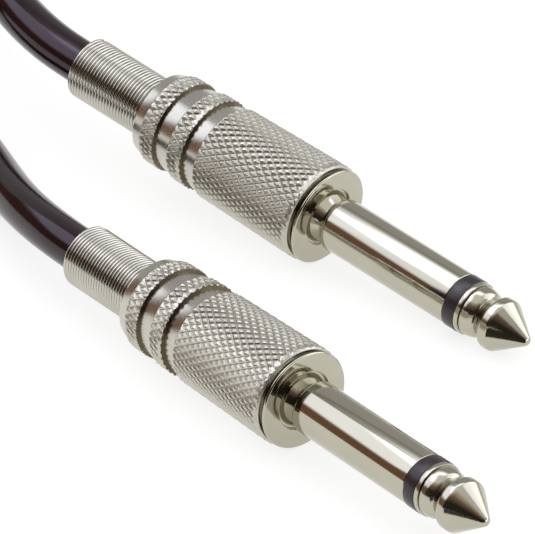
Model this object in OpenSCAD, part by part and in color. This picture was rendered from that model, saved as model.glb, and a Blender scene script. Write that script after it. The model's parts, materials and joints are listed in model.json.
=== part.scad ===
// Instrument cable with two straight 6.35 mm jack plugs.
// Plug B lies along +X. The origin is on its axis, where the shaft leaves its shoulder.
// Inside a plug, x = 0 is the flat face of the flange and +X runs out to the tip.

/* [Contact finger] */
// Diameter of the sleeve shaft
shaft_d = 6.35; // [6.2:0.01:6.4]
// Flange face to the end of the tip
finger_l = 30.5; // [29:0.1:32]
// Flange face to the full diameter of the shaft
shoulder_l = 1.9; // [1.4:0.1:2.6]
// Ring front to the end of the tip
tip_l = 8.55; // [8:0.05:9.2]
// Width of the insulating ring between shaft and tip
ring_w = 1.75; // [1:0.05:2.2]
// Diameter of the insulating ring
ring_d = 6.45; // [6.35:0.05:6.6]
// Width of the rim behind the tip's waist
rim_w = 0.7; // [0.4:0.05:1]
// Diameter of the rim
rim_d = 6.36; // [6.2:0.02:6.4]
// Diameter of the tip's waist
waist_d = 4.4; // [4:0.1:5]
// Waist to the end of the tip
waist_from_end = 5.7; // [5.5:0.05:6]
// Widest part of the tip
bulge_d = 6.3; // [6:0.05:6.4]
// Half angle of the tip's cone, in degrees
cone_angle = 35; // [33:1:38]
// Radius of the tip's blunt nose
nose_r = 0.75; // [0.5:0.05:0.9]

/* [Collar] */
// Diameter of the flange that meets the jack
flange_d = 11.6; // [11:0.1:11.8]
// Thickness of the flange
flange_t = 0.7; // [0.5:0.05:1]
// Diameter of the recess round the neck
recess_d = 7.1; // [6.9:0.05:7.6]
// Depth of that recess
recess_depth = 0.5; // [0.2:0.05:0.6]
// Neck diameter at the shaft's shoulder
neck_d = 5.4; // [5.2:0.05:5.7]
// Outer diameter of the collar's thread
thread_d = 9; // [8.8:0.05:9.1]
// Pitch of that thread
thread_pitch = 0.75; // [0.5:0.25:1]
// Length of the threaded collar
collar_l = 5.9; // [5:0.1:6.5]
// Radial play between collar and barrel
thread_play = 0.05; // [0.02:0.01:0.09]
// Length of the smooth runout behind the flange
runout_l = 0.8; // [0.5:0.1:1.2]
// Depth of that runout below the thread
runout_depth = 0.5; // [0.4:0.05:0.6]

/* [Barrel] */
// Diameter at the front
barrel_front_d = 12; // [11.8:0.1:12.6]
// Diameter at the rear knurl
barrel_rear_d = 11.1; // [10.9:0.05:11.6]
// Length of the barrel
barrel_l = 24.9; // [23:0.1:27]
// Gap between the barrel and the flange
front_gap = 0.25; // [0.1:0.05:0.6]
// Length of the smooth rear chamfer
rear_cone_l = 1.4; // [1:0.1:2]
// Drop of the rear chamfer
rear_cone_drop = 0.55; // [0.3:0.05:0.7]
// Length of the rear knurled band
band_1_l = 2.1; // [1.5:0.1:2.6]
// Length of the smooth cone before the middle band
cone_2_l = 2.3; // [1.5:0.1:2.6]
// Length of the middle knurled band
band_2_l = 2.15; // [1.5:0.05:2.6]
// Length of the smooth cone before the long knurl
cone_3_l = 2.05; // [1.5:0.05:2.6]
// Depth of the step in front of each short band
step_drop = 0.35; // [0.15:0.05:0.4]
// Thickness of the rear wall
rear_wall = 1.2; // [0.8:0.1:1.6]

/* [Strain relief spring] */
// Outer diameter of the spring
spring_d = 7.35; // [7.1:0.05:7.6]
// Thickness of the ring that its turns make
spring_wall = 0.6; // [0.5:0.05:0.65]
// Pitch of its turns
turn_pitch = 0.45; // [0.35:0.05:0.6]
// Length that stands out behind the barrel
spring_l = 11.9; // [9:0.1:14]
// Radial play of the wide turns inside the barrel
seat_play = 0.25; // [0.1:0.05:0.4]
// Length of those turns
seat_l = 1.8; // [1.2:0.1:2.4]

/* [Cable] */
// Diameter of the jacket
cable_d = 5.2; // [5:0.05:5.4]
// Diameter of the insulation round the core
core_d = 2.4; // [2:0.1:2.8]
// Diameter of the core
conductor_d = 0.8; // [0.5:0.05:1]
// Flange face to the cut end of the jacket
jacket_cut = 17.4; // [16.8:0.1:17.8]
// Radius of the innermost folds of the hank
fold_r = 10.6; // [10.4:0.1:12]
// Length of its straight runs
run_l = 80; // [60:1:84]
// Turns side by side in it
hank_wide = 3; // [2:1:3]
// Turns on each other in it
hank_high = 4; // [3:1:4]

/* [Contacts inside] */
// Diameter of the rod that carries the tip
rod_d = 2.4; // [2:0.1:2.8]
// Outer diameter of the insulating tube
tube_d = 4.2; // [3.8:0.1:4.4]
// Thickness of the solder lugs
lug_t = 0.5; // [0.4:0.05:0.6]
// Thickness of the insulating washer
washer_t = 1.2; // [0.8:0.1:1.5]
// Diameter of the insulating washer
washer_d = 7; // [6.6:0.1:7.1]
// Diameter of the ring of the tip lug
tip_lug_d = 4.6; // [4.2:0.1:4.8]
// Width of the tail of the tip lug
tail_w = 2.2; // [1.6:0.1:2.6]
// Height of that tail above the axis
tail_z = 2.3; // [2:0.1:2.4]
// Width of the strip of the sleeve lug
strip_w = 3.2; // [2.6:0.1:3.4]
// Length of the cable clamp
clamp_l = 2.4; // [2:0.1:3]
// Wall of the insulating liner in the barrel
liner_wall = 0.3; // [0.2:0.05:0.35]

/* [Arrangement] */
// Plug A's flange behind that of plug B
a_back = 26.8; // [20:0.1:30]
// Plug A's flange beside that of plug B
a_side = 25.9; // [20:0.1:30]
// How far plug A turns away from plug B, in degrees
a_yaw = 7; // [5:0.5:9]

/* [Hidden] */
// Small play between pieces of one plug that push together
fit = 0.02;
chamfer = 0.25;
$fn = 64;

NICKEL = [0.80, 0.78, 0.73];
DARK_PLASTIC = [0.13, 0.11, 0.14];
BRASS = [0.80, 0.66, 0.38];
COPPER = [0.78, 0.48, 0.32];
CREAM = [0.88, 0.85, 0.76];
BLACK_PVC = [0.09, 0.07, 0.07];

// Places along a plug's axis
ring_front = finger_l - tip_l;
ring_rear = ring_front - ring_w;
waist_x = finger_l - waist_from_end;
nose_x = finger_l - nose_r;
cone_slope = tan(cone_angle);
nose_end_x = nose_x + nose_r * sin(cone_angle);
nose_end_r = nose_r * cos(cone_angle);
bulge_x = nose_end_x - (bulge_d / 2 - nose_end_r) / cone_slope;
collar_rear = -flange_t - collar_l;
washer_front = collar_rear - lug_t;
washer_rear = washer_front - washer_t;
lug_rear = washer_rear - lug_t;
barrel_front = -flange_t - front_gap;
barrel_rear = barrel_front - barrel_l;
spring_rear = barrel_rear - spring_l;
seat_x = barrel_rear + rear_wall;
liner_rear = seat_x + seat_l;
liner_gap = 0.55;
liner_front = lug_rear - liner_gap;
bore_r = thread_d / 2 + thread_play;
seat_r = bore_r - seat_play;
liner_r = bore_r - thread_play;
spring_ri = spring_d / 2 - spring_wall;
spring_hole_r = spring_d / 2 + thread_play;
cable_r = cable_d / 2;

// Where the two plugs lie. Plug A also rests on the widest part of its tip.
floor_z = -barrel_front_d / 2;
a_tilt = atan((barrel_front_d - bulge_d) / 2 / (bulge_x - barrel_front));
a_flange = [
    -shoulder_l - a_back,
    a_side,
    floor_z + barrel_front_d / 2 * cos(a_tilt) + barrel_front * sin(a_tilt)];
a_out = [cos(a_tilt) * cos(a_yaw), cos(a_tilt) * sin(a_yaw), -sin(a_tilt)];
exit_a = a_flange + spring_rear * a_out;
exit_b = [spring_rear - shoulder_l, 0, 0];

// Hank sizes. Its end nearer to the plugs turns about hank_at
hank_at = [-128, 17.6];
slot_r = fold_r + (hank_wide - 1) * cable_d;
hank_out = slot_r + cable_r;
hank_in = fold_r - cable_r;
hank_h = hank_high * cable_d;

// Route of the cable from each plug to the outermost turn of the hank
rest_z = -3.4;
top_z = rest_z + hank_h - cable_d;
LEAD_A = [
    [-71.8, 21.0, 4.2], [-77.5, 21.5, 4.6], [-82.7, 22.8, 4.8], [-88.0, 25.0, 5.4],
    [-94.0, 28.1, 6.8], [-100.5, 31.4, 8.7], [-107.0, 34.4, 10.6], [-113.5, 36.7, 11.8],
    [-120.5, 38.2, top_z]];
LEAD_B = [
    [-45.5, 0.3, -0.2], [-51.3, 1.4, -0.9], [-56.8, 3.1, -1.8], [-62.2, 5.2, -2.7],
    [-67.8, 7.3, -3.3], [-73.8, 9.0, rest_z], [-80.5, 9.7, rest_z], [-88.0, 8.9, rest_z],
    [-96.0, 6.6, rest_z], [-104.0, 3.3, rest_z], [-112.0, 0.0, rest_z], [-120.0, -2.5, rest_z]];
ROUTE_A = concat([exit_a], LEAD_A, [[hank_at[0], hank_at[1] + slot_r, top_z]]);
ROUTE_B = concat([exit_b], LEAD_B, [[hank_at[0], hank_at[1] - slot_r, rest_z]]);

function unit(v) = v / norm(v);
function heading(route, i) = unit(route[min(i + 1, len(route) - 1)] - route[max(i - 1, 0)]);

// A tube of ten sides along a route whose first face looks the given way
tube_sides = 10;
function tube_ring(at, along) =
    let (side = unit(cross([0, 0, 1], along)), top = cross(along, side))
    [for (k = [0 : tube_sides - 1])
        at + cable_r * (cos(360 * k / tube_sides) * side + sin(360 * k / tube_sides) * top)];
module tube(route, first_way) {
    rings = [for (i = [0 : len(route) - 1])
        each tube_ring(route[i], i == 0 ? first_way : heading(route, i))];
    last = len(route) - 1;
    n = tube_sides;
    walls = [for (i = [0 : last - 1], k = [0 : n - 1])
        each [
            [i * n + k, (i + 1) * n + (k + 1) % n, i * n + (k + 1) % n],
            [i * n + k, (i + 1) * n + k, (i + 1) * n + (k + 1) % n]]];
    caps = [[for (k = [0 : n - 1]) k], [for (k = [n - 1 : -1 : 0]) last * n + k]];
    polyhedron(rings, concat(walls, caps));
}

// Puts a piece drawn along the plug's axis where plug "a" or "b" lies
module at_plug(plug) {
    if (plug == "a")
        translate(a_flange) rotate([0, a_tilt, a_yaw]) children();
    else
        translate([-shoulder_l, 0, 0]) children();
}

// Turns a half outline of [radius, x] points about the plug's axis
module turned(outline) {
    rotate([0, 90, 0]) rotate_extrude() polygon(outline);
}

module rod(r, x_from, x_to) {
    translate([x_from, 0, 0]) rotate([0, 90, 0]) cylinder(r = r, h = x_to - x_from);
}

module pipe(r_out, r_in, x_from, x_to) {
    turned([[r_in, x_from], [r_out, x_from], [r_out, x_to], [r_in, x_to]]);
}

// ---- Barrel: three knurled bands, each behind a smooth cone ----
function barrel_r(x) = barrel_rear_d / 2
    + (barrel_front_d - barrel_rear_d) / 2 * (x - barrel_rear) / barrel_l;

module barrel(plug) {
    band_1 = barrel_rear + rear_cone_l;
    cone_2 = band_1 + band_1_l;
    band_2 = cone_2 + cone_2_l;
    cone_3 = band_2 + band_2_l;
    band_3 = cone_3 + cone_3_l;
    step_x = 0.05;
    color(NICKEL) at_plug(plug) turned([
        [spring_hole_r, barrel_rear],
        [barrel_r(band_1) - rear_cone_drop, barrel_rear],
        [barrel_r(band_1), band_1],
        [barrel_r(cone_2), cone_2],
        [barrel_r(cone_2) - step_drop, cone_2 + step_x],
        [barrel_r(band_2), band_2],
        [barrel_r(cone_3), cone_3],
        [barrel_r(cone_3) - step_drop, cone_3 + step_x],
        [barrel_r(band_3), band_3],
        [barrel_r(barrel_front - chamfer), barrel_front - chamfer],
        [barrel_r(barrel_front) - chamfer, barrel_front],
        [bore_r + chamfer, barrel_front],
        [bore_r, barrel_front - chamfer],
        [bore_r, seat_x],
        [spring_hole_r, seat_x]]);
}

// ---- Spring: close-wound turns, as rings, with wide turns behind the barrel's wall ----
module spring(plug) {
    turns = round(spring_l / turn_pitch);
    pitch = spring_l / turns;
    r = spring_d / 2;
    valley = 0.35 * turn_pitch;
    flank = 0.08 * turn_pitch;
    ribs = [for (i = [0 : turns - 1])
        let (x = spring_rear + i * pitch)
        each [
            [r - valley, x],
            [r - flank, x + 0.15 * pitch],
            [r, x + 0.35 * pitch],
            [r, x + 0.65 * pitch],
            [r - flank, x + 0.85 * pitch]]];
    color(NICKEL) at_plug(plug) turned(concat(ribs, [
        [r - valley, barrel_rear],
        [r, barrel_rear],
        [r, seat_x],
        [seat_r, seat_x],
        [seat_r, liner_rear],
        [spring_ri, liner_rear],
        [spring_ri, spring_rear]]));
}

// ---- Liner: keeps the barrel off the solder lugs ----
module liner(plug) {
    color(CREAM) at_plug(plug) pipe(liner_r, liner_r - liner_wall, liner_rear, liner_front);
}

// ---- Sleeve: threaded collar, flange, neck and shaft in one turned piece ----
module sleeve(plug) {
    thread_r = thread_d / 2;
    runout_r = thread_r - runout_depth;
    shaft_r = shaft_d / 2;
    round_l = shaft_r - neck_d / 2;
    recess_draft = 0.1;
    shoulder = [for (a = [0 : 22.5 : 90])
        [shaft_r - round_l * (1 - sin(a)), shoulder_l - round_l * cos(a)]];
    color(NICKEL) at_plug(plug) turned(concat([
        [tube_d / 2 + fit, collar_rear],
        [thread_r - chamfer, collar_rear],
        [thread_r, collar_rear + chamfer],
        [thread_r, -flange_t - runout_l],
        [runout_r, -flange_t - runout_l + runout_depth],
        [runout_r, -flange_t],
        [flange_d / 2, -flange_t],
        [flange_d / 2, -chamfer],
        [flange_d / 2 - chamfer, 0],
        [recess_d / 2, 0],
        [recess_d / 2 - recess_draft, -recess_depth],
        [shaft_r, -recess_depth],
        [neck_d / 2, shoulder_l / 2]],
        shoulder, [
        [shaft_r, ring_rear],
        [tube_d / 2 + fit, ring_rear]]));
}

module insulator_tube(plug) {
    color(DARK_PLASTIC) at_plug(plug) pipe(tube_d / 2, rod_d / 2 + fit, washer_front, ring_rear);
}

module ring(plug) {
    color(DARK_PLASTIC) at_plug(plug) pipe(ring_d / 2, rod_d / 2 + fit, ring_rear, ring_front);
}

// ---- Tip: rim, domed root, waist, bulge, cone and nose, on its rod ----
module tip(plug) {
    rim_front = ring_front + rim_w;
    rim_step = 0.12;
    dome_r = rim_d / 2 - rim_step;
    waist_r = waist_d / 2;
    bulge_r = bulge_d / 2;
    edge_r = 0.5;
    head_r = rod_d / 2 + 0.5;
    head_l = 0.6;
    dome = [for (a = [0 : 15 : 90])
        [waist_r + (dome_r - waist_r) * cos(a), rim_front + (waist_x - rim_front) * sin(a)]];
    // The widest edge is an arc that runs into the cone
    edge = [for (a = [-60 : 19 : 35])
        [bulge_r - edge_r * (1 - cos(a)), bulge_x - edge_r * cos(cone_angle) + edge_r * sin(a)]];
    nose = [for (a = [cone_angle : 11 : 90])
        [nose_r * cos(a), nose_x + nose_r * sin(a)]];
    color(NICKEL) at_plug(plug) turned(concat([
        [0, lug_rear - head_l],
        [head_r, lug_rear - head_l],
        [head_r, lug_rear],
        [rod_d / 2, lug_rear],
        [rod_d / 2, ring_front],
        [rim_d / 2, ring_front],
        [rim_d / 2, rim_front - rim_step]],
        dome, edge, nose,
        [[0, finger_l]]));
}

module washer(plug) {
    color(CREAM) at_plug(plug) pipe(washer_d / 2, rod_d / 2 + fit, washer_rear, washer_front);
}

// ---- Tip lug: a ring on the rod, bent up to a tail to solder the core to ----
cut = 1; // how far a cutting shape runs past what it cuts
tail_l = 6.1;
tail_rear = washer_rear - tail_l;
module tip_lug(plug) {
    color(BRASS) at_plug(plug) difference() {
        union() {
            rod(tip_lug_d / 2, lug_rear, washer_rear);
            translate([lug_rear, -tail_w / 2, 0]) cube([lug_t, tail_w, tail_z + lug_t]);
            translate([tail_rear, -tail_w / 2, tail_z]) cube([washer_rear - tail_rear, tail_w, lug_t]);
        }
        rod(rod_d / 2 + fit, lug_rear - cut, washer_rear + cut);
    }
}

// ---- Sleeve lug: a ring behind the collar, a strip bent past the washer, and a clamp ----
clamp_front = -jacket_cut - 0.6;
clamp_rear = clamp_front - clamp_l;
clamp_in = cable_r + fit;
clamp_out = clamp_in + lug_t;
strip_in = washer_d / 2 + thread_play;
strip_out = strip_in + lug_t;
module sleeve_lug(plug) {
    clamp_gap = 1.5;
    bend_front = washer_rear - 0.05;
    bend_rear = bend_front - (strip_out - clamp_out);
    color(BRASS) at_plug(plug) difference() {
        union() {
            rod(strip_out, washer_front, collar_rear);
            rotate([90, 0, 0]) linear_extrude(height = strip_w, center = true) polygon([
                [collar_rear, -strip_out],
                [bend_front, -strip_out],
                [bend_rear, -clamp_out],
                [clamp_rear, -clamp_out],
                [clamp_rear, -clamp_in],
                [bend_rear, -clamp_in],
                [bend_front, -strip_in],
                [collar_rear, -strip_in]]);
            rod(clamp_out, clamp_rear, clamp_front);
        }
        rod(tube_d / 2 + fit, washer_front - cut, collar_rear + cut);
        rod(clamp_in, clamp_rear - cut, clamp_front + cut);
        translate([clamp_rear - cut, -clamp_gap / 2, 0])
            cube([clamp_l + 2 * cut, clamp_gap, clamp_out + cut]);
    }
}

// ---- Cable end: jacket, shield twisted to one side, insulated core and bare core ----
shield_l = 0.8;
core_l = 1.6;
solder_r = 0.9;
solder_sink = 0.3; // how far the middle of a blob of solder lies off its lug
module jacket_end(plug) {
    color(BLACK_PVC) at_plug(plug) rod(cable_r, spring_rear, -jacket_cut);
}

module shield(plug) {
    twist_r = 0.5;
    twist_l = 4.2;
    strip_top = -clamp_in;
    solder_x = -jacket_cut + twist_l;
    blade = 2 * (solder_r + cut);
    color(COPPER) at_plug(plug) {
        pipe(cable_r - 0.5, core_d / 2, -jacket_cut, -jacket_cut + shield_l);
        difference() {
            union() {
                translate([0, 0, strip_top + twist_r]) rod(twist_r, -jacket_cut, solder_x);
                translate([solder_x, 0, strip_top + solder_sink]) sphere(r = solder_r);
            }
            translate([-jacket_cut - cut, -blade / 2, strip_top - blade])
                cube([twist_l + blade, blade, blade]);
            rod(core_d / 2, -jacket_cut - cut, -jacket_cut + shield_l + cut);
        }
    }
}

module core(plug) {
    color(CREAM) at_plug(plug) rod(core_d / 2 - fit, -jacket_cut, -jacket_cut + shield_l + core_l);
}

module conductor(plug) {
    wire_r = conductor_d / 2;
    start = -jacket_cut + shield_l + core_l;
    rise = tail_z - wire_r;
    run = 1.3;
    solder_x = start + run + 1;
    blade = 2 * (solder_r + cut);
    slope = atan2(rise, run);
    color(COPPER) at_plug(plug) difference() {
        union() {
            rod(wire_r, start, start + wire_r);
            translate([start + wire_r, 0, 0]) sphere(r = wire_r);
            translate([start + wire_r, 0, 0]) rotate([0, 90 - slope, 0])
                cylinder(r = wire_r, h = norm([rise, run]));
            translate([start + wire_r + run, 0, rise]) sphere(r = wire_r);
            translate([0, 0, rise]) rod(wire_r, start + wire_r + run, solder_x + 1);
            translate([solder_x, 0, tail_z - solder_sink]) sphere(r = solder_r);
        }
        translate([start, -blade / 2, tail_z]) cube([run + 2 * blade, blade, blade]);
    }
}

// ---- The free cable ----
module lead_a() {
    color(BLACK_PVC) tube(ROUTE_A, -a_out);
}

module lead_b() {
    color(BLACK_PVC) tube(ROUTE_B, [-1, 0, 0]);
}

// ---- Hank: the turns of the cable as one long ring ----
module hank_section() {
    edge = 0.4 * cable_d;
    w = hank_out - hank_in;
    h = hank_h;
    translate([hank_in, 0]) polygon([
        [edge, 0], [w - edge, 0], [w, edge], [w, h - edge],
        [w - edge, h], [edge, h], [0, h - edge], [0, edge]]);
}

module hank() {
    color(BLACK_PVC) translate([hank_at[0], hank_at[1], floor_z]) {
        rotate([0, 0, -90]) rotate_extrude(angle = 180) hank_section();
        translate([-run_l, 0, 0]) rotate([0, 0, 90]) rotate_extrude(angle = 180) hank_section();
        for (side = [-90, 90])
            translate([-run_l / 2, 0, 0]) rotate([90, 0, side])
                linear_extrude(height = run_l, center = true) hank_section();
    }
}

// ---- Tie: a strap round the waist of the hank ----
module tie() {
    strap_w = 9;
    strap_t = 0.8;
    strap_x = hank_at[0] - (run_l + strap_w) / 2;
    strap_y = hank_at[1] - hank_out - strap_t;
    color(DARK_PLASTIC) translate([strap_x, strap_y, floor_z]) difference() {
        cube([strap_w, 2 * (hank_out + strap_t), hank_h + strap_t]);
        translate([-cut, strap_t, strap_t]) cube([strap_w + 2 * cut, 2 * hank_out, hank_h - strap_t]);
    }
}

barrel("a");  // barrel_a
spring("a");  // spring_a
liner("a");  // liner_a
sleeve("a");  // sleeve_a
insulator_tube("a");  // insulator_tube_a
ring("a");  // ring_a
tip("a");  // tip_a
washer("a");  // washer_a
tip_lug("a");  // tip_lug_a
sleeve_lug("a");  // sleeve_lug_a
jacket_end("a");  // jacket_end_a
shield("a");  // shield_a
core("a");  // core_a
conductor("a");  // conductor_a
barrel("b");  // barrel_b
spring("b");  // spring_b
liner("b");  // liner_b
sleeve("b");  // sleeve_b
insulator_tube("b");  // insulator_tube_b
ring("b");  // ring_b
tip("b");  // tip_b
washer("b");  // washer_b
tip_lug("b");  // tip_lug_b
sleeve_lug("b");  // sleeve_lug_b
jacket_end("b");  // jacket_end_b
shield("b");  // shield_b
core("b");  // core_b
conductor("b");  // conductor_b
lead_a();
lead_b();
hank();
tie();
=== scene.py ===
import json
import math

import bpy
import numpy as np
from mathutils import Matrix, Vector


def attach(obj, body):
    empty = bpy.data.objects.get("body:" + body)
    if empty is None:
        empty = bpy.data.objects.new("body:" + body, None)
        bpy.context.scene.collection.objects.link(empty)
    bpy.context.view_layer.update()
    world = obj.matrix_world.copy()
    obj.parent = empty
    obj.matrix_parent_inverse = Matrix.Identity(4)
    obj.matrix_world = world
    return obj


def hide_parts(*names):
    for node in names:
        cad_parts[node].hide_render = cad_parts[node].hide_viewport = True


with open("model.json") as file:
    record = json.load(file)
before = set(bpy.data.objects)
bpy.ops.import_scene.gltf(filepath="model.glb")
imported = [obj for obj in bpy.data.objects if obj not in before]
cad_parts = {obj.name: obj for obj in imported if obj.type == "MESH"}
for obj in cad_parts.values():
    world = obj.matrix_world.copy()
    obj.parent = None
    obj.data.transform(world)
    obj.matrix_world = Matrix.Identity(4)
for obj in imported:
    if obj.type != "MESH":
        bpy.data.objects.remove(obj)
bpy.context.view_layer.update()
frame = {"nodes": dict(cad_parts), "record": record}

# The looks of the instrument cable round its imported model. Sizes of a plug are in
# millimetres along its own axis, as in part.scad: 0 at the flange face, +x to the tip.
MM = 0.001
PLUGS = ("a", "b")
SHOULDER = 1.9
MOUNTS = {m["name"]: m for m in frame["record"]["mounts"]}


def plug_matrix(plug):
    """Where a plug lies: its x axis runs out to the tip, from the flange face."""
    mount = MOUNTS[f"plug_{plug}"]
    out = Vector(mount["axis"]).normalized()
    side = Vector((0, 0, 1)).cross(out).normalized()
    up = out.cross(side)
    at = Vector(mount["pos_m"]) - out * SHOULDER * MM
    placed = Matrix((out, side, up)).transposed().to_4x4()
    placed.translation = at
    return placed


PLACE = {plug: plug_matrix(plug) for plug in PLUGS}


# ---- Mesh tools ----
def add_mesh(name, points, faces, scale=MM):
    mesh = bpy.data.meshes.new(name)
    mesh.from_pydata([tuple(c * scale for c in p) for p in points], [], faces)
    mesh.validate()
    mesh.update()
    piece = bpy.data.objects.new(name, mesh)
    bpy.context.scene.collection.objects.link(piece)
    return piece


def shade(piece, angle):
    mesh = piece.data
    mesh.polygons.foreach_set("use_smooth", [True] * len(mesh.polygons))
    mesh.set_sharp_from_angle(angle=math.radians(angle))


def circle(radius, sides):
    angles = [2 * math.pi * k / sides for k in range(sides)]
    return [(radius * math.cos(a), radius * math.sin(a)) for a in angles]


def arc(x, r, along, angles, out=None):
    """Points (x, radius) of an arc round (x, r), by angles in degrees from straight out towards
    +x. Its radius is along, and where out is given it is an ellipse that reaches out by that."""
    out = along if out is None else out
    return [
        (x + along * math.sin(math.radians(a)), r + out * math.cos(math.radians(a))) for a in angles]


def rounded(outline, size, steps, least=12):
    """The closed outline with each corner that turns by at least that many degrees made into a
    small arc."""
    made = []
    count = len(outline)
    for i, at in enumerate(outline):
        at = Vector(at)
        before, after = Vector(outline[i - 1]) - at, Vector(outline[(i + 1) % count]) - at
        if before.length < 1e-6 or after.length < 1e-6:
            made.append(tuple(at))
            continue
        turn = 180 - math.degrees(before.angle(after))
        if turn < least or at.y < 1e-6:
            made.append(tuple(at))
            continue
        near = min(size, 0.4 * before.length, 0.4 * after.length)
        start, end = at + before.normalized() * near, at + after.normalized() * near
        for k in range(steps + 1):
            t = k / steps
            made.append(tuple(start * (1 - t) ** 2 + at * 2 * t * (1 - t) + end * t * t))
    return made


def turned(name, outline, sides=96, bend=None):
    """Turns a closed outline of (x, radius) about the x axis. bend(x, radius, angle) gives a
    point's own radius."""
    points, rings, faces = [], [], []
    for x, r in outline:
        if r < 1e-6:
            rings.append([len(points)])
            points.append((x, 0, 0))
            continue
        ring = []
        for k in range(sides):
            a = 2 * math.pi * k / sides
            rr = bend(x, r, a) if bend else r
            ring.append(len(points))
            points.append((x, rr * math.cos(a), rr * math.sin(a)))
        rings.append(ring)
    for i, ring in enumerate(rings):
        after = rings[(i + 1) % len(rings)]
        if len(ring) == 1 and len(after) == 1:
            continue
        for k in range(sides):
            n = (k + 1) % sides
            if len(ring) == 1:
                faces.append((ring[0], after[k], after[n]))
            elif len(after) == 1:
                faces.append((ring[k], after[0], ring[n]))
            else:
                faces.append((ring[k], after[k], after[n], ring[n]))
    return add_mesh(name, points, faces)


def swept(name, path, section, frames):
    """A tube with capped ends: section(i) gives (u, v) pairs, laid out along the two directions
    of frames[i]."""
    points, faces = [], []
    sides = len(section(0))
    for i, at in enumerate(path):
        across, over = frames[i]
        for u, v in section(i):
            points.append(tuple(at + across * u + over * v))
    for i in range(len(path) - 1):
        for k in range(sides):
            n = (k + 1) % sides
            faces.append((i * sides + k, i * sides + n, (i + 1) * sides + n, (i + 1) * sides + k))
    last = (len(path) - 1) * sides
    faces.append(tuple(range(sides - 1, -1, -1)))
    faces.append(tuple(last + k for k in range(sides)))
    return add_mesh(name, points, faces)


def fit_in(piece, plug, body, node, material, angle):
    """Puts a piece of a plug in its place, for a CAD node that it stands for. The piece keeps
    its points along the plug's own axis as "turned", for its material. Without an angle it keeps
    the shading that it has."""
    if angle is not None:
        shade(piece, angle)
    mesh = piece.data
    points = np.zeros(len(mesh.vertices) * 3, np.float32)
    mesh.vertices.foreach_get("co", points)
    mesh.attributes.new("turned", "FLOAT_VECTOR", "POINT").data.foreach_set("vector", points)
    mesh.transform(PLACE[plug])
    piece.data.materials.clear()
    piece.data.materials.append(material)
    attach(piece, body)
    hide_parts(node)


# ---- Materials ----
class Nodes:
    """A few calls that keep a node tree short."""

    def __init__(self, owner, output="ShaderNodeOutputMaterial"):
        owner.use_nodes = True
        self.tree = owner.node_tree
        self.tree.nodes.clear()
        self.out = self.add(output)

    def add(self, kind, **values):
        node = self.tree.nodes.new(kind)
        for name, value in values.items():
            setattr(node, name, value)
        return node

    def link(self, a, b):
        self.tree.links.new(a, b)

    def math(self, operation, a, b):
        node = self.add("ShaderNodeMath", operation=operation)
        for socket, value in zip(node.inputs, (a, b)):
            if isinstance(value, bpy.types.NodeSocket):
                self.link(value, socket)
            else:
                socket.default_value = value
        return node.outputs[0]

    def noise(self, vector, scale, detail=3.0, roughness=0.5):
        node = self.add("ShaderNodeTexNoise")
        node.inputs["Scale"].default_value = scale
        node.inputs["Detail"].default_value = detail
        node.inputs["Roughness"].default_value = roughness
        self.link(vector, node.inputs["Vector"])
        return node.outputs["Fac"]

    def ramp(self, fac, low, high):
        node = self.add("ShaderNodeValToRGB")
        for mark, position, colour in zip(node.color_ramp.elements, (0.3, 0.7), (low, high)):
            mark.position = position
            mark.color = (*colour, 1)
        self.link(fac, node.inputs["Fac"])
        return node.outputs["Color"]

    def remap(self, value, low, high):
        """Spreads the middle half of a noise from low to high."""
        node = self.add("ShaderNodeMapRange")
        node.inputs["From Min"].default_value = 0.25
        node.inputs["From Max"].default_value = 0.75
        node.inputs["To Min"].default_value = low
        node.inputs["To Max"].default_value = high
        self.link(value, node.inputs["Value"])
        return node.outputs["Result"]

    def bump(self, height, distance, strength):
        node = self.add("ShaderNodeBump")
        node.inputs["Distance"].default_value = distance
        node.inputs["Strength"].default_value = strength
        self.link(height, node.inputs["Height"])
        return node.outputs["Normal"]

    def glow(self, colour):
        """An even light of that colour, 1 being white."""
        node = self.add("ShaderNodeEmission")
        node.inputs["Color"].default_value = (*colour, 1)
        return node


def new_material(name, on_turned=False):
    material = bpy.data.materials.new(name)
    nodes = Nodes(material)
    shader = nodes.add("ShaderNodeBsdfPrincipled")
    nodes.link(shader.outputs[0], nodes.out.inputs[0])
    if on_turned:
        where = nodes.add("ShaderNodeAttribute", attribute_name="turned").outputs["Vector"]
    else:
        where = nodes.add("ShaderNodeTexCoord").outputs["Object"]
    return material, nodes, shader, where


def lathe_coordinates(nodes, where):
    """(along the axis, off the axis, 0): rings round a turned piece, on its faces too."""
    split = nodes.add("ShaderNodeSeparateXYZ")
    nodes.link(where, split.inputs[0])
    y, z = split.outputs["Y"], split.outputs["Z"]
    squares = nodes.math("ADD", nodes.math("MULTIPLY", y, y), nodes.math("MULTIPLY", z, z))
    off = nodes.math("SQRT", squares, 0)
    join = nodes.add("ShaderNodeCombineXYZ")
    nodes.link(split.outputs["X"], join.inputs["X"])
    nodes.link(off, join.inputs["Y"])
    return join.outputs[0]


def nickel(name, dark, light, rough, marks=0.0000012, mark_scale=9000, cloud=160):
    """Nickel plate: rings left by the lathe, faint clouds of tarnish and uneven gloss. marks is
    the depth of the rings in metres."""
    material, nodes, shader, where = new_material(name, True)
    shader.inputs["Metallic"].default_value = 1
    clouds = nodes.noise(where, cloud, 4)
    nodes.link(nodes.ramp(clouds, dark, light), shader.inputs["Base Color"])
    rings = nodes.noise(lathe_coordinates(nodes, where), mark_scale, 2, 0.7)
    fine = nodes.noise(where, 2600, 3, 0.6)
    uneven = nodes.remap(fine, rough * 0.8, rough * 1.25)
    nodes.link(nodes.math("ADD", uneven, nodes.remap(rings, 0, rough * 0.25)), shader.inputs["Roughness"])
    nodes.link(nodes.bump(rings, marks, 0.6), shader.inputs["Normal"])
    return material


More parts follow.
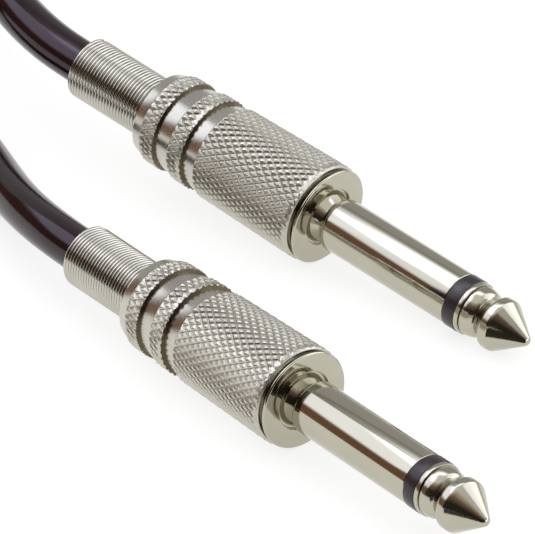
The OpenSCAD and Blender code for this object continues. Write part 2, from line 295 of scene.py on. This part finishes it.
def plastic(name, dark, light, rough, grain_scale, grain, tint=(1, 1, 1)):
    """A plastic with a fine grain, grain metres deep. tint colours its gloss."""
    material, nodes, shader, where = new_material(name)
    nodes.link(nodes.ramp(nodes.noise(where, 240, 4), dark, light), shader.inputs["Base Color"])
    uneven = nodes.remap(nodes.noise(where, 900, 3), rough * 0.8, rough * 1.2)
    nodes.link(uneven, shader.inputs["Roughness"])
    nodes.link(nodes.bump(nodes.noise(where, grain_scale, 2), grain, 0.6), shader.inputs["Normal"])
    shader.inputs["Specular Tint"].default_value = (*tint, 1)
    return material


def bare_metal(name, dark, light, rough):
    """Unplated metal, or a dark metal for painted shade, with no lathe rings."""
    material, nodes, shader, where = new_material(name)
    shader.inputs["Metallic"].default_value = 1
    nodes.link(nodes.ramp(nodes.noise(where, 500, 5, 0.6), dark, light), shader.inputs["Base Color"])
    uneven = nodes.remap(nodes.noise(where, 1800, 3), rough * 0.7, rough * 1.4)
    nodes.link(uneven, shader.inputs["Roughness"])
    nodes.link(nodes.bump(nodes.noise(where, 3500, 3), 0.00001, 0.5), shader.inputs["Normal"])
    return material


def hook_and_loop(name):
    """Black strap: a weave of fine threads under short fuzz."""
    material, nodes, shader, where = new_material(name)
    shader.inputs["Roughness"].default_value = 0.9
    shader.inputs["Sheen Weight"].default_value = 0.4
    shader.inputs["Sheen Roughness"].default_value = 0.5
    wave = nodes.add("ShaderNodeTexWave", wave_type="BANDS", bands_direction="Z")
    wave.inputs["Scale"].default_value = 420
    wave.inputs["Distortion"].default_value = 1.5
    nodes.link(where, wave.inputs["Vector"])
    fuzz = nodes.noise(where, 2400, 4, 0.7)
    nodes.link(nodes.ramp(fuzz, (0.008, 0.008, 0.01), (0.03, 0.03, 0.034)), shader.inputs["Base Color"])
    height = nodes.math("ADD", wave.outputs["Fac"], fuzz)
    nodes.link(nodes.bump(height, 0.0002, 0.8), shader.inputs["Normal"])
    return material


MIRROR_DARK, MIRROR_LIGHT = (0.455, 0.432, 0.345), (0.48, 0.456, 0.37)
POLISHED = nickel("polished_nickel", MIRROR_DARK, MIRROR_LIGHT, rough=0.08)
SOFT = nickel("tip_nickel", MIRROR_DARK, MIRROR_LIGHT, rough=0.13)
SATIN = nickel("satin_nickel", (0.52, 0.50, 0.435), (0.56, 0.54, 0.475), rough=0.2)
KNURLED = nickel(
    "knurled_nickel", (0.53, 0.51, 0.435), (0.58, 0.56, 0.485), rough=0.32, marks=0.0000015,
    mark_scale=5000, cloud=260)
SPRING = nickel(
    "spring_nickel", (0.48, 0.46, 0.40), (0.54, 0.52, 0.46), rough=0.13, marks=0.000001,
    mark_scale=3000, cloud=500)
# Dark metal for the foot of each step on the barrel: painted shade in the corner
STEP_SHADE = bare_metal("painted_step_shade", (0.12, 0.09, 0.057), (0.19, 0.155, 0.10), 0.35)
RING = plastic(
    "ring_plastic", (0.017, 0.009, 0.011), (0.028, 0.016, 0.019), rough=0.3, grain_scale=5000,
    grain=0.000004)
CREAM = plastic(
    "cream_plastic", (0.66, 0.62, 0.47), (0.76, 0.72, 0.58), rough=0.45, grain_scale=4000,
    grain=0.000006)
CABLE = plastic(
    "cable_jacket", (0.007, 0.002, 0.0032), (0.012, 0.004, 0.006), rough=0.13, grain_scale=1500,
    grain=0.00001, tint=(1, 0.82, 0.92))
BRASS = bare_metal("lug_brass", (0.50, 0.43, 0.29), (0.66, 0.58, 0.42), 0.25)
COPPER = bare_metal("copper", (0.50, 0.24, 0.13), (0.72, 0.42, 0.28), 0.3)
STRAP = hook_and_loop("strap")


# ---- The free cable: its route is that of part.scad ----
CABLE_D = 5.2
CABLE_R = CABLE_D / 2
REST_Z = -3.4
FLOOR_Z = -6.0
HANK_AT = (-128.0, 17.6)
FOLD_R, RUN, WIDE, HIGH = 10.6, 80.0, 3, 4
SLOTS = [FOLD_R + CABLE_D * k for k in range(WIDE)][::-1]
TOP_Z = REST_Z + (HIGH - 1) * CABLE_D
LEAD_A = [
    (-71.8, 21.0, 4.2), (-77.5, 21.5, 4.6), (-82.7, 22.8, 4.8), (-88.0, 25.0, 5.4),
    (-94.0, 28.1, 6.8), (-100.5, 31.4, 8.7), (-107.0, 34.4, 10.6), (-113.5, 36.7, 11.8),
    (-120.5, 38.2, TOP_Z)]
LEAD_B = [
    (-45.5, 0.3, -0.2), (-51.3, 1.4, -0.9), (-56.8, 3.1, -1.8), (-62.2, 5.2, -2.7),
    (-67.8, 7.3, -3.3), (-73.8, 9.0, REST_Z), (-80.5, 9.7, REST_Z), (-88.0, 8.9, REST_Z),
    (-96.0, 6.6, REST_Z), (-104.0, 3.3, REST_Z), (-112.0, 0.0, REST_Z), (-120.0, -2.5, REST_Z)]
SPRING_REAR = -37.75
STRAP_T, STRAP_W = 0.8, 9.0
STRAP_X = HANK_AT[0] - RUN / 2
PATH_STEP = 1.5


def ease(s):
    """Rises smoothly from 0 to 1 while s goes from 0 to 1."""
    return (1 - math.cos(math.pi * min(max(s, 0), 1))) / 2


def over_strap(x):
    """How far the turns rise to lie on the strap that passes under them."""
    slope_l = 9
    return STRAP_T * (1 - ease((abs(x - STRAP_X) - STRAP_W / 2) / slope_l))


def hank_turns():
    """The hank from its lowest outer turn to its highest, wound in and out by turns. Each turn
    shifts to its next place on the far run. The shifts of the upper turns come first, half a
    shift apart, so that no two turns cross."""
    places = []
    for layer in range(HIGH):
        places += [(r, layer) for r in (SLOTS if layer % 2 == 0 else SLOTS[::-1])]
    shift_l, orders = RUN / 4, 2 * HIGH - 2
    near_steps, far_steps = 16, 20
    made = []

    def fold(x, r, z, angles):
        for a in map(math.radians, angles):
            made.append((x + r * math.cos(a), HANK_AT[1] + r * math.sin(a), z))

    for lap in range(len(places) - 1):
        (r, layer), (r2, layer2) = places[lap], places[lap + 1]
        z = REST_Z + CABLE_D * layer
        if lap:
            fold(HANK_AT[0], r, z, range(75, -90, -15))
        for k in range(near_steps + 1):
            x = HANK_AT[0] - RUN * k / near_steps
            made.append((x, HANK_AT[1] - r, z + over_strap(x)))
        fold(HANK_AT[0] - RUN, r, z, range(255, 90, -15))
        begin = shift_l / 2 * (orders - layer - layer2)
        for k in range(far_steps + 1):
            along = RUN * k / far_steps
            x = HANK_AT[0] - RUN + along
            s = ease((along - begin) / shift_l)
            up = z + CABLE_D * (layer2 - layer) * s + over_strap(x)
            made.append((x, HANK_AT[1] + r + (r2 - r) * s, up))
    return made


exit_a = PLACE["a"] @ Vector((SPRING_REAR * MM, 0, 0))
exit_b = PLACE["b"] @ Vector((SPRING_REAR * MM, 0, 0))
route = [tuple(c / MM for c in exit_a), *LEAD_A]
route += hank_turns()[::-1]
route += LEAD_B[::-1] + [tuple(c / MM for c in exit_b)]


def between(u, start, end, a, b):
    """The value at u on the line from a at start to b at end."""
    return (end - u) / (end - start) * a + (u - start) / (end - start) * b


def smooth_path(points):
    """Points on a smooth line through the given ones, about PATH_STEP apart (centripetal spline)."""
    p = np.array(points, float)
    p = np.vstack([2 * p[0] - p[1], p, 2 * p[-1] - p[-2]])
    t = np.concatenate([[0], np.cumsum(np.sqrt(np.linalg.norm(np.diff(p, axis=0), axis=1)))])
    made = []
    for i in range(1, len(p) - 2):
        count = max(2, round(float(np.linalg.norm(p[i + 1] - p[i])) / PATH_STEP))
        for k in range(count):
            u = t[i] + (t[i + 1] - t[i]) * k / count
            a1, a2, a3 = (between(u, t[j], t[j + 1], p[j], p[j + 1]) for j in (i - 1, i, i + 1))
            b1 = between(u, t[i - 1], t[i + 1], a1, a2)
            b2 = between(u, t[i], t[i + 2], a2, a3)
            made.append(between(u, t[i], t[i + 1], b1, b2))
    made.append(p[-2])
    return [Vector(q) for q in made]


def untwisted_frames(path, first, last):
    """Two directions across the path at each point, carried along it without twist. The path
    starts towards first and ends towards last."""
    ways = [(after - before).normalized() for before, after in zip(path, path[2:])]
    ways = [first, *ways, last]
    across = Vector((0, 0, 1)).cross(ways[0]).normalized()
    frames = []
    for way in ways:
        across = (across - way * across.dot(way)).normalized()
        frames.append((across, way.cross(across)))
    return frames


path = smooth_path(route)
jacket = circle(CABLE_R, 20)
out_a = PLACE["a"].to_3x3() @ Vector((1, 0, 0))
out_b = PLACE["b"].to_3x3() @ Vector((1, 0, 0))
cable = swept("cable", path, lambda i: jacket, untwisted_frames(path, -out_a, out_b))
shade(cable, 60)
cable.data.materials.append(CABLE)
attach(cable, "root")
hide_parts("lead_a", "hank", "lead_b")


# ---- Strap round the waist of the hank ----
def tight_loop(corners, reach):
    """Points and outward directions of a loop drawn tight round circles of that radius."""
    loop = []
    count, steps = len(corners), 6
    for i, at in enumerate(corners):
        at = np.array(at)
        into, out = at - np.array(corners[i - 1]), np.array(corners[(i + 1) % count]) - at
        a1, a2 = math.atan2(-into[0], into[1]), math.atan2(-out[0], out[1])
        for k in range(steps + 1):
            a = a1 + ((a2 - a1) % (2 * math.pi)) * k / steps
            way = np.array([math.cos(a), math.sin(a)])
            loop.append(np.concatenate([at + way * reach, way]))
    made = []
    for i, a in enumerate(loop):
        b = loop[(i + 1) % len(loop)]
        parts = max(1, round(float(np.linalg.norm(b[:2] - a[:2])) / PATH_STEP))
        made += [a + (b - a) * k / parts for k in range(parts)]
    return made


def strap():
    """A band of hook-and-loop tape: once round the hank, its end pressed on over the top."""
    low, high = REST_Z + STRAP_T, TOP_Z + STRAP_T
    near, far = HANK_AT[1] - SLOTS[0], HANK_AT[1] + SLOTS[0]
    # The near side has no turn in its highest outer place
    corners = [(near, low), (far, low), (far, high), (near + CABLE_D, high), (near, high - CABLE_D)]
    loop = tight_loop(corners, CABLE_R)
    # The strap starts at the foot of the far side
    start = next(i for i, q in enumerate(loop) if q[2] > 0.99)
    loop = loop[start:] + loop[:start]
    # The lap is counted in points of the loop. The strap climbs in the few points before it
    count, lap, climb = len(loop), 26, 5
    off_cable, lap_rise = 0.01, STRAP_T * 0.96
    path, frames = [], []
    for i in range(count + lap):
        y, z, ny, nz = loop[i % count]
        normal = Vector((0, ny, nz)).normalized()
        over = off_cable + lap_rise * ease((i - count + climb) / climb)
        path.append(Vector((STRAP_X, y, z)) + normal * over)
        frames.append((Vector((1, 0, 0)), normal))
    half, thick = STRAP_W / 2, STRAP_T * 0.93
    end_part, end_points, bulge, fray = 0.8, 2, 0.1, 0.06

    def section(i):
        """Narrower at both ends, with edges that fray a little."""
        from_end = min(i, len(path) - 1 - i)
        w = half * (end_part + (1 - end_part) * math.sqrt(min(1, from_end / end_points)))
        edge = fray * math.sin(i * 2.3)
        return [
            (-w, 0), (w, 0), (w + bulge + edge, thick * 0.5), (w, thick),
            (0, thick * 1.03), (-w, thick), (-w - bulge + edge, thick * 0.5)]

    piece = swept("hank_strap", path, section, frames)
    shade(piece, 40)
    piece.data.materials.append(STRAP)
    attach(piece, "root")
    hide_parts("tie")
    return piece


tie = strap()


# ---- Barrel: three knurled bands behind smooth cones ----
BARREL_REAR, BARREL_FRONT = -25.85, -0.95
REAR_R, FRONT_R = 5.55, 6.0
BANDS = [(-24.45, -22.35), (-20.05, -17.9), (-15.85, BARREL_FRONT)]
REAR_DROP, STEP_DROP, STEP_X, STEP_FOOT = 0.55, 0.48, 0.03, 0.09
BORE_R, HOLE_R, SEAT_X = 4.55, 3.725, -24.65
KNURL_N, KNURL_P = 40, 1.4
# Each diamond of the knurl: (part of its half width, depth below the crest) from groove to crest
DIAMOND = [(1, 0.18), (0.62, 0.054), (0.26, 0)]


def barrel_r(x):
    return REAR_R + (FRONT_R - REAR_R) * (x - BARREL_REAR) / (BARREL_FRONT - BARREL_REAR)


def knurled_rod(name):
    """A rod cut all over by crossed grooves, as rows of diamonds with worn crests."""
    past_end = 1
    rows = math.ceil((BARREL_FRONT - BARREL_REAR + 2 * past_end) / (KNURL_P / 2))
    start = BARREL_REAR - past_end
    around = 2 * KNURL_N
    points, faces, corner = [], [], {}

    def at(k, j, r):
        a = math.pi * k / KNURL_N
        points.append((start + j * KNURL_P / 2, r * math.cos(a), r * math.sin(a)))
        return len(points) - 1

    def low(k, j):
        key = (k % around, j)
        if key not in corner:
            corner[key] = at(k, j, barrel_r(start + j * KNURL_P / 2) - DIAMOND[0][1])
        return corner[key]

    for j in range(rows + 1):
        for k in range(around):
            if (k + j) % 2:
                continue
            if j == 0:
                faces += [(low(k, 0), low(k + 1, 0), low(k, 1)), (low(k - 1, 0), low(k, 0), low(k, 1))]
                continue
            if j == rows:
                before = low(k, j - 1)
                faces += [(low(k, j), before, low(k + 1, j)), (low(k - 1, j), before, low(k, j))]
                continue
            ring = [low(k + 1, j), low(k, j + 1), low(k - 1, j), low(k, j - 1)]
            for part, depth in DIAMOND[1:]:
                inner = [
                    at(k + dk * part, j + dj * part, barrel_r(start + j * KNURL_P / 2) - depth)
                    for dk, dj in ((1, 0), (0, 1), (-1, 0), (0, -1))]
                for c in range(4):
                    n = (c + 1) % 4
                    faces.append((ring[c], ring[n], inner[n], inner[c]))
                ring = inner
            faces.append(tuple(ring))
    for j, flip in ((0, False), (rows, True)):
        middle = at(0, j, 0)
        for k in range(around):
            tri = (middle, low(k + 1, j), low(k, j))
            faces.append(tri[::-1] if flip else tri)
    return add_mesh(name, points, faces)


def barrel_blank(name):
    """The turned shape, with the bands left proud for the knurl."""
    proud, chamfer, foot_rise = 0.05, 0.25, 0.02
    groove = DIAMOND[0][1] + 0.01
    outline = [(BARREL_REAR, HOLE_R), (BARREL_REAR, barrel_r(BANDS[0][0]) - REAR_DROP)]
    for start, end in BANDS[:2]:
        outline += [
            (start, barrel_r(start) - groove), (start + groove, barrel_r(start) + proud),
            (end, barrel_r(end) + proud), (end + STEP_X, barrel_r(end) - STEP_DROP),
            (end + STEP_FOOT, barrel_r(end) - STEP_DROP + foot_rise)]
    start, end = BANDS[2]
    outline += [
        (start, barrel_r(start) - groove), (start + groove, barrel_r(start) + proud),
        (end - chamfer, barrel_r(end) + proud), (end, barrel_r(end) - chamfer),
        (end, BORE_R + chamfer), (end - chamfer, BORE_R), (SEAT_X, BORE_R), (SEAT_X, HOLE_R)]
    return turned(name, rounded(outline, 0.06, 2, 20), 160)


def edge_turns(mesh):
    """The angle at each edge between its two faces, below 0 where they meet in a groove."""
    count = len(mesh.polygons)
    normals, centres = np.zeros(count * 3), np.zeros(count * 3)
    mesh.polygons.foreach_get("normal", normals)
    mesh.polygons.foreach_get("center", centres)
    normals, centres = normals.reshape(-1, 3), centres.reshape(-1, 3)
    sizes, edges = np.zeros(count, int), np.zeros(len(mesh.loops), int)
    mesh.polygons.foreach_get("loop_total", sizes)
    mesh.loops.foreach_get("edge_index", edges)
    faces = np.repeat(np.arange(count), sizes)
    order = np.argsort(edges, kind="stable")
    edges, faces = edges[order], faces[order]
    pair = np.nonzero(edges[:-1] == edges[1:])[0]
    one, two = faces[pair], faces[pair + 1]
    turn = np.degrees(np.arccos(np.clip((normals[one] * normals[two]).sum(1), -1, 1)))
    hollow = ((centres[two] - centres[one]) * normals[one]).sum(1) > 0
    turns = np.zeros(len(mesh.edges))
    turns[edges[pair]] = np.where(hollow, -turn, turn)
    return turns


def barrel(plug):
    blank = barrel_blank(f"knurled_barrel_{plug}")
    cutter = knurled_rod("knurl")
    cut = blank.modifiers.new("knurl", "BOOLEAN")
    cut.operation = "INTERSECT"
    cut.object = cutter
    cut.solver = "MANIFOLD"
    evaluated = blank.evaluated_get(bpy.context.evaluated_depsgraph_get())
    mesh = bpy.data.meshes.new_from_object(evaluated)
    blank.modifiers.clear()
    blank.data = mesh
    bpy.data.objects.remove(cutter)
    # Round over the crests of the diamonds, crisp in the grooves
    crisp_groove, crisp_edge = -9, 72
    turns = edge_turns(mesh)
    mesh.polygons.foreach_set("use_smooth", [True] * len(mesh.polygons))
    mesh.edges.foreach_set("use_edge_sharp", ((turns < crisp_groove) | (turns > crisp_edge)).tolist())
    fit_in(blank, plug, f"shell_{plug}", f"barrel_{plug}", KNURLED, None)
    # The cones between the bands are left smooth, with painted shade at the foot of each step
    knurled, smooth, shaded_foot = range(3)
    mesh.materials.append(SATIN)
    mesh.materials.append(STEP_SHADE)
    where = np.zeros(len(mesh.vertices) * 3, np.float32)
    mesh.attributes["turned"].data.foreach_get("vector", where)
    along = where.reshape(-1, 3)[:, 0] / MM
    for face in mesh.polygons:
        x = along[list(face.vertices)].mean()
        # Faces at the foot of each step take the painted shade
        if any(b < x < b + STEP_FOOT for a, b in BANDS[:2]):
            face.material_index = shaded_foot
        else:
            face.material_index = knurled if any(a < x <= b for a, b in BANDS) else smooth


# ---- Spring: close-wound wire, with wide turns held behind the barrel's wall ----
SPRING_FRONT, SPRING_R, SPRING_SEAT_R = -22.85, 3.675, 4.3


def spring(plug):
    wire_r, pitch, sides, per_turn, first_angle = 0.222, 0.45, 10, 40, 1.0
    start, end = SPRING_REAR + wire_r, SPRING_FRONT - wire_r
    visible_r, seat_r = SPRING_R - wire_r, SPRING_SEAT_R - wire_r
    turns = (end - start) / pitch
    count = round(turns * per_turn)
    path, frames = [], []
    for i in range(count + 1):
        s = i / count
        x = start + (end - start) * s
        r = visible_r + (seat_r - visible_r) * ease((x - SEAT_X - wire_r) / pitch)
        a = 2 * math.pi * turns * s + first_angle
        way = Vector((0, math.cos(a), math.sin(a)))
        path.append(Vector((x, 0, 0)) + way * r)
        frames.append((way, Vector((1, 0, 0))))
    wire = circle(wire_r, sides)
    piece = swept(f"wound_spring_{plug}", path, lambda i: wire, frames)
    fit_in(piece, plug, f"strain_relief_{plug}", f"spring_{plug}", SPRING, 60)


# ---- Sleeve, ring and tip ----
SHAFT_R, NECK_R = 3.175, 2.7
RING_REAR, RING_FRONT, RING_R = 20.2, 21.95, 3.225
TUBE_R, ROD_R = 2.12, 1.2
THREAD_R, THREAD_P, THREAD_DEPTH = 4.5, 0.75, 0.36
COLLAR_REAR, RUNOUT_X, RUNOUT_R = -6.6, -1.5, 4.0
FLANGE_REAR, FLANGE_R = -0.7, 5.8
TIP_END = 30.5


def thread(x, r, angle):
    """The collar's radius with a right-hand thread cut in it, that runs out at both ends."""
    skin, end_face = 0.3, 0.05
    groove_half, rear_fade, front_fade = 0.42, 0.5, 0.3
    if x < COLLAR_REAR + end_face or x > RUNOUT_X or r < THREAD_R - skin:
        return r
    phase = (x / THREAD_P - angle / (2 * math.pi)) % 1
    groove = 1 - min(1, abs(phase - 0.5) / groove_half)
    fade = ease((x - COLLAR_REAR) / rear_fade) * ease((RUNOUT_X - x) / front_fade)
    return r - THREAD_DEPTH * groove * fade


def sleeve(plug):
    chamfer, rim_rear, rim_chamfer = 0.25, -0.28, 0.12
    hub_r, recess_r, recess_floor = 5.0, 3.55, -0.5
    threaded = COLLAR_REAR + chamfer
    steps = round((RUNOUT_X - threaded) / (THREAD_P / 8))
    outline = [(COLLAR_REAR, TUBE_R), (COLLAR_REAR, THREAD_R - chamfer), (threaded, THREAD_R)]
    outline += [(threaded + (RUNOUT_X - threaded) * k / steps, THREAD_R) for k in range(1, steps + 1)]
    # Runout, hub, flange with a thin edge, and the recess round the neck
    outline += [(RUNOUT_X + 0.5, RUNOUT_R), (FLANGE_REAR, RUNOUT_R), (FLANGE_REAR, hub_r)]
    outline += [(rim_rear, hub_r), (rim_rear, FLANGE_R), (-rim_chamfer, FLANGE_R)]
    outline += [(0, FLANGE_R - rim_chamfer), (0, recess_r), (recess_floor, recess_r - 0.1)]
    outline += [(recess_floor, SHAFT_R), (SHOULDER / 2, NECK_R)]
    outline += arc(SHOULDER, NECK_R, SHAFT_R - NECK_R, range(-90, 1, 15))
    outline += [(RING_REAR - 0.1, SHAFT_R), (RING_REAR, SHAFT_R - 0.105), (RING_REAR, TUBE_R)]
    piece = turned(f"turned_sleeve_{plug}", rounded(outline, 0.07, 3, 20), bend=thread)
    fit_in(piece, plug, "root", f"sleeve_{plug}", POLISHED, 25)


def ring(plug):
    outline = [(RING_REAR, ROD_R), (RING_REAR, RING_R), (RING_FRONT, RING_R), (RING_FRONT, ROD_R)]
    piece = turned(f"end_ring_{plug}", rounded(outline, 0.09, 3))
    fit_in(piece, plug, "root", f"ring_{plug}", RING, 40)


def tip(plug):
    head_rear, head_front, head_r = -9.4, -8.8, 1.7
    rim_front, rim_r, rim_step, neck_r = RING_FRONT + 0.7, 3.18, 0.16, 2.8
    waist_x, waist_r, waist_edge_r = 24.45, 2.2, 3.02
    bulge_r, back_x, back_size, front_size, front_shift = 3.15, 25.75, 0.5, 0.8, 0.25
    cone_angle, nose_r = 35, 0.75
    slope = math.radians(cone_angle)
    nose_x = TIP_END - nose_r
    bulge_x = nose_x + nose_r * math.sin(slope) - (bulge_r - nose_r * math.cos(slope)) / math.tan(slope)
    outline = [(head_rear, 0), (head_rear, head_r), (head_front, head_r), (head_front, ROD_R)]
    outline += [(RING_FRONT, ROD_R), (RING_FRONT, rim_r), (rim_front - rim_step, rim_r)]
    outline += [(rim_front - 0.13, neck_r), (rim_front, neck_r)]
    outline += arc(rim_front, waist_r, waist_x - rim_front, range(0, 91, 9), waist_edge_r - waist_r)
    outline += arc(back_x, bulge_r - back_size, back_size, range(-70, 1, 10))
    outline += arc(bulge_x - front_shift, bulge_r - front_size, front_size, range(0, 36, 7))
    outline += arc(nose_x, 0, nose_r, np.linspace(cone_angle, 84, 8))
    outline += [(TIP_END, 0)]
    piece = turned(f"turned_tip_{plug}", rounded(outline, 0.03, 2, 25))
    fit_in(piece, plug, "root", f"tip_{plug}", SOFT, 25)


for plug in PLUGS:
    barrel(plug)
    spring(plug)
    sleeve(plug)
    ring(plug)
    tip(plug)

# ---- The CAD's own pieces inside the plugs ----
INSIDE = {
    "liner": (CREAM, "cream_plastic"), "washer": (CREAM, "cream_plastic"),
    "core": (CREAM, "cream_plastic"),
    "insulator_tube": (RING, "ring_plastic"), "tip_lug": (BRASS, "lug_brass"),
    "sleeve_lug": (BRASS, "lug_brass"), "jacket_end": (CABLE, "cable_jacket"),
    "shield": (COPPER, "copper"), "conductor": (COPPER, "copper")}
for name, (material, slot_name) in INSIDE.items():
    for plug in PLUGS:
        node = frame["nodes"][f"{name}_{plug}"]
        node.data.materials.clear()
        node.data.materials.append(material)


# ---- Studio: pale floor, soft light overhead, and a surround that the metal reflects ----
def seen_or_mirrored(nodes):
    """1 for rays from the camera or off something shiny, 0 for the light on matt surfaces."""
    path = nodes.add("ShaderNodeLightPath")
    seen = nodes.math("MAXIMUM", path.outputs["Is Camera Ray"], path.outputs["Is Glossy Ray"])
    return nodes.math("MAXIMUM", seen, path.outputs["Is Transmission Ray"])


def floor():
    grey, glow_level, size = 0.3, 0.78, 4
    material = bpy.data.materials.new("floor")
    nodes = Nodes(material)
    matt = nodes.add("ShaderNodeBsdfDiffuse")
    matt.inputs["Color"].default_value = (grey, grey, grey, 1)
    glow = nodes.glow((1, 1, 1))
    nodes.link(nodes.math("MULTIPLY", seen_or_mirrored(nodes), glow_level), glow.inputs["Strength"])
    both = nodes.add("ShaderNodeAddShader")
    nodes.link(matt.outputs[0], both.inputs[0])
    nodes.link(glow.outputs[0], both.inputs[1])
    nodes.link(both.outputs[0], nodes.out.inputs[0])
    corners = [(-size, -size, 0), (size, -size, 0), (size, size, 0), (-size, size, 0)]
    piece = add_mesh("floor", corners, [(0, 1, 2, 3)], 1)
    piece.location = (-0.05, 0.02, FLOOR_Z * MM)
    piece.data.materials.append(material)


def only_mirrored(piece, material):
    """Makes a piece part of the studio that only mirrored rays meet."""
    piece.data.materials.append(material)
    piece.visible_camera = False
    piece.visible_diffuse = False
    piece.visible_shadow = False
    piece.visible_transmission = False


def surround(name, left, right, stops):
    """Part of a dome round the object, from one azimuth to another in degrees. stops gives its
    colours by elevation."""
    brightest = 5
    material = bpy.data.materials.new(name)
    nodes = Nodes(material)
    way = nodes.add("ShaderNodeVectorMath", operation="NORMALIZE")
    nodes.link(nodes.add("ShaderNodeTexCoord").outputs["Object"], way.inputs[0])
    split = nodes.add("ShaderNodeSeparateXYZ")
    nodes.link(way.outputs[0], split.inputs[0])
    height = nodes.math("DIVIDE", nodes.math("ARCSINE", split.outputs["Z"], 0), math.pi / 2)
    ramp = nodes.add("ShaderNodeValToRGB")
    ramp.color_ramp.interpolation = "EASE"
    marks = ramp.color_ramp.elements
    while len(marks) < len(stops):
        marks.new(0.5)
    for mark, (elevation, colour) in zip(marks, stops):
        mark.position = max(elevation, 0) / 90
        mark.color = (*(c / brightest for c in colour), 1)
    nodes.link(height, ramp.inputs["Fac"])
    glow = nodes.glow((1, 1, 1))
    nodes.link(ramp.outputs["Color"], glow.inputs["Color"])
    glow.inputs["Strength"].default_value = brightest
    nodes.link(glow.outputs[0], nodes.out.inputs[0])
    columns, rows = math.ceil((right - left) / DOME_STEP), DOME_ROWS
    points, faces = [], []
    for i in range(columns + 1):
        a = math.radians(left + (right - left) * i / columns)
        for j in range(rows + 1):
            e = math.radians(stops[0][0] + (stops[-1][0] - stops[0][0]) * j / rows)
            way = (math.cos(a) * math.cos(e), math.sin(a) * math.cos(e), math.sin(e))
            points.append(tuple(DOME_R * c for c in way))
    for i in range(columns):
        for j in range(rows):
            k = i * (rows + 1) + j
            faces.append((k, k + 1, k + rows + 2, k + rows + 1))
    only_mirrored(add_mesh(name, points, faces, 1), material)


def card(name, corners, colour):
    """A dark card, with its corners in millimetres."""
    material = bpy.data.materials.new(name)
    nodes = Nodes(material)
    nodes.link(nodes.glow(colour).outputs[0], nodes.out.inputs[0])
    only_mirrored(add_mesh(name, corners, [tuple(range(len(corners)))]), material)


def overhead_lamp():
    """A square lamp overhead that isn't seen in the metal."""
    size, level, height = 2.6, 0.72, 0.95
    data = bpy.data.lights.new("overhead", "AREA")
    data.shape = "SQUARE"
    data.size = size
    data.energy = level * math.pi * size * size
    piece = bpy.data.objects.new("overhead", data)
    piece.location = (0, 0, height)
    piece.visible_camera = False
    piece.visible_glossy = False
    bpy.context.scene.collection.objects.link(piece)


def sky():
    """White where it is seen or mirrored, and half as bright for the light on matt surfaces."""
    matt_level = 0.5
    world = bpy.data.worlds.new("world")
    bpy.context.scene.world = world
    nodes = Nodes(world, "ShaderNodeOutputWorld")
    background = nodes.add("ShaderNodeBackground")
    background.inputs["Color"].default_value = (1, 1, 1, 1)
    extra = nodes.math("MULTIPLY", seen_or_mirrored(nodes), 1 - matt_level)
    nodes.link(nodes.math("ADD", extra, matt_level), background.inputs["Strength"])
    nodes.link(background.outputs[0], nodes.out.inputs[0])


# The dome's radius in metres, the degrees between its columns, its rows and its lower edge
DOME_R, DOME_STEP, DOME_ROWS, HORIZON = 1.6, 6, 14, -0.3
CARD_Z = 0.05 + FLOOR_Z
BROWN, GREY, BLACK = (0.22, 0.12, 0.072), (0.49, 0.48, 0.48), (0.03, 0.026, 0.022)
PALE, BRIGHT = (1.6, 1.68, 1.9), (3.3, 3.4, 4.2)
LOW_WINDOW, SIDE_WINDOW = (2.2, 2.25, 2.4), (2.3, 2.35, 2.5)

floor()
surround("far_wall", 95, 180, [
    (HORIZON, GREY), (42, GREY), (44, (0.25, 0.23, 0.2)), (46, (0.45, 0.44, 0.43)),
    (50, (0.5, 0.5, 0.5)), (57, (1.3, 1.35, 1.5)), (61, (2.2, 2.3, 2.6)), (66, (3, 3.1, 3.6)),
    (76, (1.2, 1.2, 1.2))])
surround("left_wall", 180, 234, [
    (HORIZON, BROWN), (20, BROWN), (29, PALE), (51, PALE), (56, BRIGHT), (66, BRIGHT),
    (76, (1.3, 1.35, 1.5))])
surround("left_wall_near", 234, 252, [
    (HORIZON, BROWN), (25, BROWN), (36, (1.4, 1.45, 1.6)), (54, (1.5, 1.55, 1.7)),
    (60, (2.4, 2.5, 2.8)), (70, (1.3, 1.35, 1.5))])
surround("camera_side", 252, 356, [
    (HORIZON, BLACK), (28, BLACK), (35, (0.12, 0.075, 0.06)), (46, (0.2, 0.14, 0.12)),
    (58, (0.55, 0.46, 0.36)), (66, (0.9, 0.9, 0.9))])
surround("right_front", 356, 405, [
    (HORIZON, (0.6, 0.6, 0.6)), (4, LOW_WINDOW), (20, LOW_WINDOW), (32, (0.45, 0.45, 0.45)),
    (66, (0.85, 0.85, 0.85))])
surround("right_wall", 405, 455, [
    (HORIZON, (0.6, 0.6, 0.6)), (8, (0.8, 0.8, 0.8)), (14, SIDE_WINDOW), (30, SIDE_WINDOW),
    (42, (1.9, 1.95, 2.2)), (56, (1.8, 1.85, 2.1)), (66, (1, 1, 1))])
# One card stands beside plug A's flange, the other lies on the floor before the camera
card("flag_a", [
    (-0.2, 21.5, FLOOR_Z), (6.6, 27.4, FLOOR_Z), (6.6, 27.4, -1.5), (-0.2, 21.5, -1.5)],
    (0.04, 0.033, 0.026))
card("flag_b", [
    (30, -26, CARD_Z), (120, -26, CARD_Z), (400, -200, CARD_Z), (400, -600, CARD_Z),
    (100, -600, CARD_Z)], (0.05, 0.04, 0.03))
overhead_lamp()
sky()

# ---- Camera ----
PHOTO_W, LENS_PIXELS, SENSOR_W = 535, 9000, 36
camera_data = bpy.data.cameras.new("camera")
camera_data.sensor_width = SENSOR_W
camera_data.lens = LENS_PIXELS * SENSOR_W / PHOTO_W
camera_data.clip_start, camera_data.clip_end = 0.05, 20
camera = bpy.data.objects.new("camera", camera_data)
camera.location = (0.6214, -0.5227, 0.5456)
camera.rotation_euler = (math.radians(57), 0, math.radians(50.3))
bpy.context.scene.collection.objects.link(camera)
bpy.context.scene.camera = camera
bpy.context.scene.view_settings.view_transform = "Standard"
